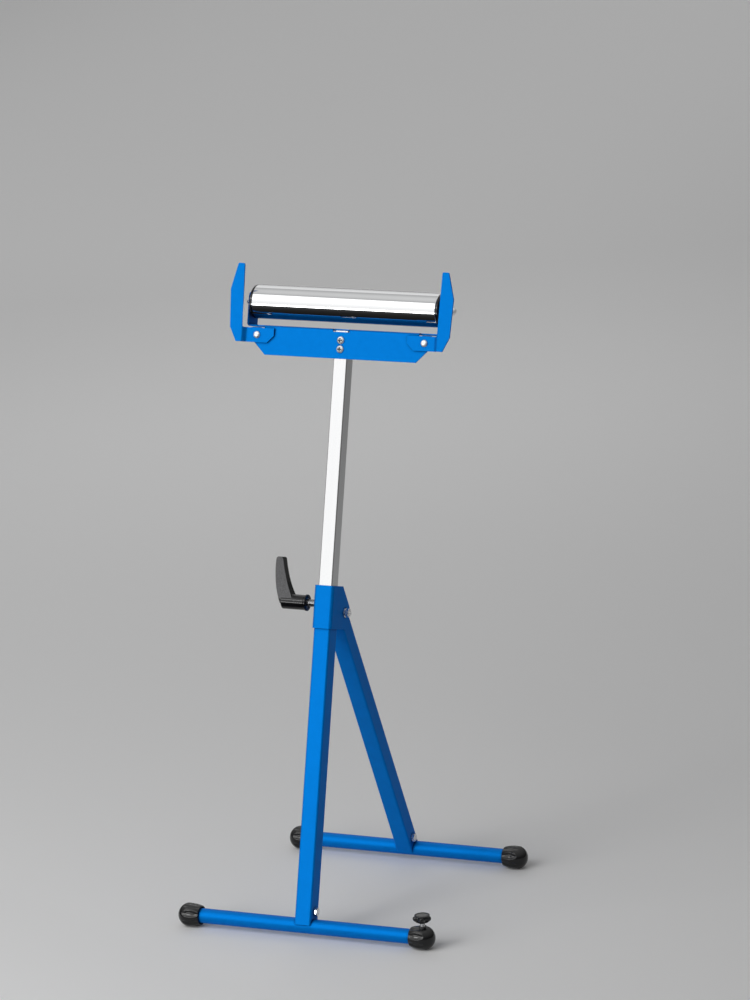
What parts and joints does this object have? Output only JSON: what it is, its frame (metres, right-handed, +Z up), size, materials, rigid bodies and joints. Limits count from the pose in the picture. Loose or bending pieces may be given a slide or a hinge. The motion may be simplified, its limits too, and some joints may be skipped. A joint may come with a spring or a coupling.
{
  "type": "roller stand",
  "caption": "Folding work support stand: a free-turning chromed roller between side guides, on a post that slides in a leaning square tube braced by a hinged rear leg.",
  "frame": {"origin": "on the floor, midway between the two foot bars, in the plane of the post", "axes": "+Z up, -Y towards the front, +X along the roller to the right as seen from the front"},
  "size_m": [0.474, 0.457, 1.084],
  "materials": {
    "blue_paint": "satin powder coat",
    "bright_zinc": "bright zinc plate",
    "chrome": "polished",
    "black_plastic": "moulded",
    "black_steel": "blackened",
    "nylon": "natural",
    "bearing_steel": "ground"
  },
  "bodies": {
    "frame": {"front_foot_bar": "blue_paint", "front_left_cap": "black_plastic", "front_right_cap": "black_plastic", "levelling_insert": "bright_zinc", "outer_post": "blue_paint", "post_bolt": "bright_zinc", "post_nut": "bright_zinc", "yoke": "blue_paint", "pivot_bolt": "bright_zinc", "pivot_nut": "bright_zinc", "pivot_washer_left": "bright_zinc", "pivot_washer_right": "bright_zinc", "pivot_sleeve": "bright_zinc", "clamp_nut": "blue_paint"},
    "levelling_spindle": {"levelling_screw": "bright_zinc"},
    "levelling_grip": {"levelling_knob": "black_plastic"},
    "clamp": {"clamp_lever": "black_plastic", "clamp_insert": "black_steel", "clamp_stud": "bright_zinc", "clamp_pad": "nylon", "clamp_spring": "bright_zinc", "clamp_screw": "bright_zinc"},
    "leg": {"rear_leg": "blue_paint", "rear_foot_bar": "blue_paint", "rear_left_cap": "black_plastic", "rear_right_cap": "black_plastic", "leg_bolt": "bright_zinc", "leg_nut": "bright_zinc"},
    "head": {"inner_post": "bright_zinc", "inner_post_plug": "black_plastic", "cradle": "blue_paint", "cradle_bolt_upper": "bright_zinc", "cradle_bolt_lower": "bright_zinc", "cradle_nut_upper": "bright_zinc", "cradle_nut_lower": "bright_zinc", "guide_bolt_left": "bright_zinc", "guide_bolt_right": "bright_zinc", "guide_washer_left": "bright_zinc", "guide_washer_right": "bright_zinc", "guide_nut_left": "bright_zinc", "guide_nut_right": "bright_zinc", "axle": "bright_zinc", "axle_nut": "bright_zinc", "axle_dome_nut": "bright_zinc", "axle_spacer_left": "bright_zinc", "axle_spacer_right": "bright_zinc"},
    "guide_left": {"left_guide": "blue_paint"},
    "guide_right": {"right_guide": "blue_paint"},
    "roller": {"roller_tube": "chrome", "roller_cap_left": "black_plastic", "roller_cap_right": "black_plastic", "roller_bearing_left": "bearing_steel", "roller_bearing_right": "bearing_steel"}
  },
  "joints": [
    {"name": "head_slide", "type": "slide", "parent": "frame", "child": "head", "axis": [0, 0.2924, 0.9563], "range_m": [-0.38, 0.058]},
    {"name": "roller_spin", "type": "hinge", "parent": "head", "child": "roller", "pos_m": [0, 0.10794, 1.01356], "axis": [1, 0, 0], "continuous": true},
    {"name": "leg_fold", "type": "hinge", "parent": "frame", "child": "leg", "pos_m": [0, -0.02016, 0.5142], "axis": [-1, 0, 0], "range_deg": [0, 40]},
    {"name": "clamp_turn", "type": "hinge", "parent": "frame", "child": "clamp", "pos_m": [0, -0.04983, 0.53686], "axis": [-1, 0, 0], "range_deg": [0, 100]},
    {"name": "left_guide_swing", "type": "hinge", "parent": "head", "child": "guide_left", "pos_m": [-0.1549, 0.06393, 0.96742], "axis": [0, -0.9563, 0.2924], "range_deg": [0, 90]},
    {"name": "right_guide_swing", "type": "hinge", "parent": "head", "child": "guide_right", "pos_m": [0.1549, 0.06393, 0.96742], "axis": [0, 0.9563, -0.2924], "range_deg": [0, 90]},
    {"name": "levelling_travel", "type": "slide", "parent": "frame", "child": "levelling_spindle", "axis": [0, 0, 1], "range_m": [-0.005, 0.003]},
    {"name": "levelling_turn", "type": "hinge", "parent": "levelling_spindle", "child": "levelling_grip", "pos_m": [0.2165, -0.208, 0.0545], "axis": [0, 0, 1], "range_deg": [-1440, 864]}
  ],
  "couplings": [
    {"joint": "levelling_turn", "follows": "levelling_travel", "rad_per_m": 5026.5}
  ]
}
